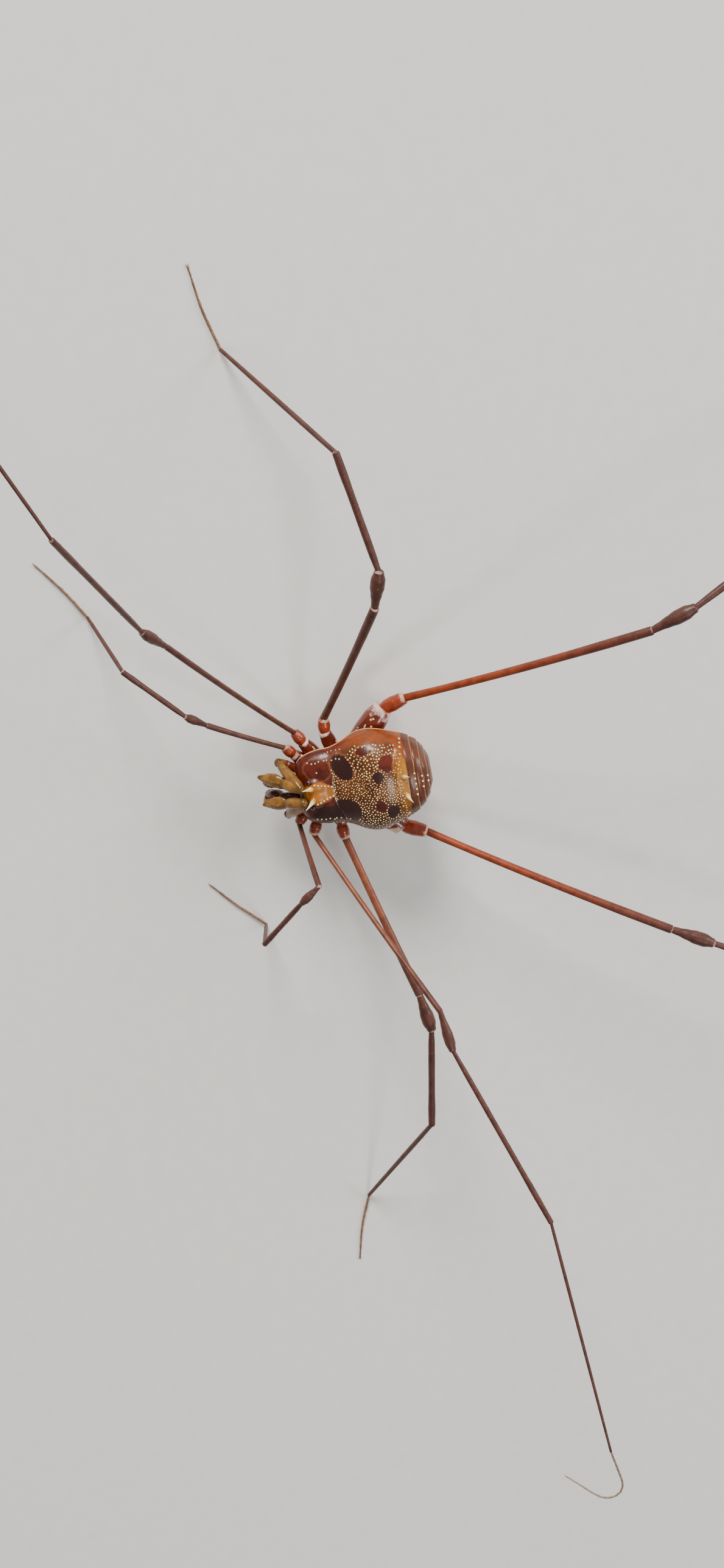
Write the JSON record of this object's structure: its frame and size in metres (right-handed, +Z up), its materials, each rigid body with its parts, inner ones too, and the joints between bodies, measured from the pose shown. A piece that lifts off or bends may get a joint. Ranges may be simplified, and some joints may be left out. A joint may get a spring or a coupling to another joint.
{
  "type": "harvestman",
  "caption": "Life-size long-legged harvestman in a standing pose, with a spined, dotted back, spoon-like pedipalps and the second legs held in the air as feelers.",
  "frame": {"origin": "on the floor, under the middle of the box round the whole animal", "axes": "+Z up from the floor; the animal faces -Y and its left side is +X"},
  "size_m": [0.0906, 0.0674, 0.0244],
  "materials": {
    "shield": "satin chitin, orange sides, brown middle with pale granules",
    "tergites": "satin chitin, brown bands with pale rear edges",
    "underside": "satin chitin, reddish brown",
    "eye": "glossy black lens",
    "chelicera": "polished dark red-brown chitin",
    "pedipalp": "polished golden-olive chitin",
    "trochanter": "satin orange-red chitin with pale membranes",
    "leg_near": "satin red-brown chitin, finely granulate",
    "leg_far": "satin dark brown chitin, finely haired",
    "tarsus": "dull pale brown chitin, finely haired"
  },
  "bodies": {
    "root": {"dorsal_shield": "shield", "free_tergites": "tergites", "underside": "underside", "chelicera_left": "chelicera", "chelicera_right": "chelicera", "pedipalp_femur_left": "pedipalp", "pedipalp_femur_right": "pedipalp", "pedipalp_tibia_left": "pedipalp", "pedipalp_tibia_right": "pedipalp", "eye_left": "eye", "eye_right": "eye", "leg_1_left_trochanter": "trochanter", "leg_1_left_femur": "leg_near", "leg_1_left_patella": "leg_near", "leg_1_left_tibia": "leg_far", "leg_1_left_metatarsus": "leg_far", "leg_1_left_tarsus": "tarsus", "leg_1_right_trochanter": "trochanter", "leg_1_right_femur": "leg_near", "leg_1_right_patella": "leg_near", "leg_1_right_tibia": "leg_far", "leg_1_right_metatarsus": "leg_far", "leg_1_right_tarsus": "tarsus", "leg_2_left_trochanter": "trochanter", "leg_2_left_femur": "leg_near", "leg_2_left_patella": "leg_near", "leg_2_left_tibia": "leg_far", "leg_2_left_metatarsus": "leg_far", "leg_2_left_tarsus": "tarsus", "leg_2_right_trochanter": "trochanter", "leg_2_right_femur": "leg_near", "leg_2_right_patella": "leg_near", "leg_2_right_tibia": "leg_far", "leg_2_right_metatarsus": "leg_far", "leg_2_right_tarsus": "tarsus", "leg_3_left_trochanter": "trochanter", "leg_3_left_femur": "leg_near", "leg_3_left_patella": "leg_near", "leg_3_left_tibia": "leg_far", "leg_3_left_metatarsus": "leg_far", "leg_3_left_tarsus": "tarsus", "leg_3_right_trochanter": "trochanter", "leg_3_right_femur": "leg_near", "leg_3_right_patella": "leg_near", "leg_3_right_tibia": "leg_far", "leg_3_right_metatarsus": "leg_far", "leg_3_right_tarsus": "tarsus", "leg_4_left_trochanter": "trochanter", "leg_4_left_femur": "leg_near", "leg_4_left_patella": "leg_near", "leg_4_left_tibia": "leg_far", "leg_4_left_metatarsus": "leg_far", "leg_4_left_tarsus": "tarsus", "leg_4_right_trochanter": "trochanter", "leg_4_right_femur": "leg_near", "leg_4_right_patella": "leg_near", "leg_4_right_tibia": "leg_far", "leg_4_right_metatarsus": "leg_far", "leg_4_right_tarsus": "tarsus"}
  },
  "joints": []
}
